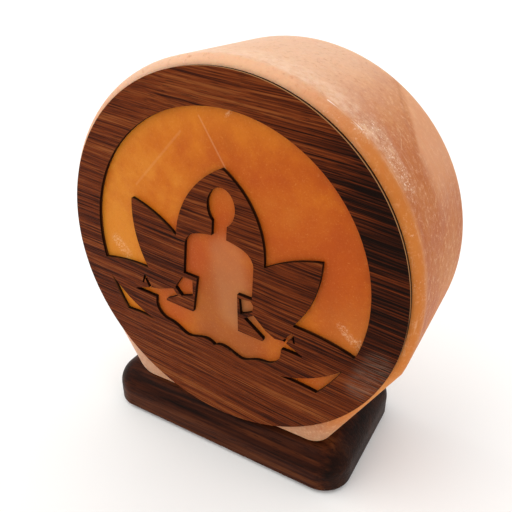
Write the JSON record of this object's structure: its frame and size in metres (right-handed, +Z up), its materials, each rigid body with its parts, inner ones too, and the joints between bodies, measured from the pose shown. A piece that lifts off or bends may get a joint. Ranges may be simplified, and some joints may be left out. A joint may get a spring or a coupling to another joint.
{
  "type": "salt crystal lamp",
  "caption": "Round rock salt table lamp on a hardwood base, with a fretwork wooden front plate and a small bulb in a clip-in holder below.",
  "frame": {"origin": "on the floor under the axis of the bulb, in the middle of the lamp's whole width and depth", "axes": "+Z up; the wooden plate faces -Y; +X is to the right as seen from the front"},
  "size_m": [0.178, 0.081, 0.1993],
  "materials": {
    "dark_hardwood": "satin",
    "rubber_feet": "matte",
    "rock_salt": "satin",
    "striped_hardwood": "satin",
    "zinc_steel": "satin",
    "grey_nylon": "satin",
    "black_phenolic": "satin",
    "brass": "satin",
    "stainless_steel": "satin",
    "black_nylon": "satin",
    "solder": "matte",
    "black_glass": "gloss",
    "brass_cap": "satin",
    "clear_glass": "polished",
    "nickel_wire": "satin",
    "tungsten": "satin"
  },
  "bodies": {
    "lamp": {"base_board": "dark_hardwood", "foot_pads": "rubber_feet", "salt_block": "rock_salt", "fretwork_plate": "striped_hardwood", "base_screws": "zinc_steel", "screw_anchors": "grey_nylon"},
    "holder": {"holder_body": "black_phenolic", "holder_shell": "brass", "centre_contact": "brass", "clip_bracket": "stainless_steel", "cord_bushing": "black_nylon", "bracket_screws": "zinc_steel", "terminal_blocks": "brass", "terminal_screws": "zinc_steel"},
    "clip_left": {"clip_left": "stainless_steel"},
    "clip_right": {"clip_right": "stainless_steel"},
    "bulb_lift": {"foot_contact": "solder", "cap_insulator": "black_glass"},
    "bulb": {"bulb_cap": "brass_cap", "bulb_glass": "clear_glass", "glass_stem": "clear_glass", "lead_wires": "nickel_wire", "filament": "tungsten"}
  },
  "joints": [
    {"name": "holder_pull", "type": "slide", "parent": "lamp", "child": "holder", "axis": [0, 0, -1], "range_m": [0, 0.085]},
    {"name": "clip_left_press", "type": "hinge", "parent": "holder", "child": "clip_left", "pos_m": [-0.0161, 0, 0.0091], "axis": [0, 1, 0], "range_deg": [0, 8], "stiffness_Nm_per_rad": 0.1},
    {"name": "clip_right_press", "type": "hinge", "parent": "holder", "child": "clip_right", "pos_m": [0.0161, 0, 0.0091], "axis": [0, -1, 0], "range_deg": [0, 8], "stiffness_Nm_per_rad": 0.1},
    {"name": "bulb_rise", "type": "slide", "parent": "holder", "child": "bulb_lift", "axis": [0, 0, 1], "range_m": [0, 0.0099]},
    {"name": "bulb_turn", "type": "hinge", "parent": "bulb_lift", "child": "bulb", "pos_m": [0, 0, 0.04], "axis": [0, 0, 1], "range_deg": [0, 1260]}
  ],
  "couplings": [
    {"joint": "bulb_rise", "follows": "bulb_turn", "m_per_rad": 0.00044913}
  ]
}
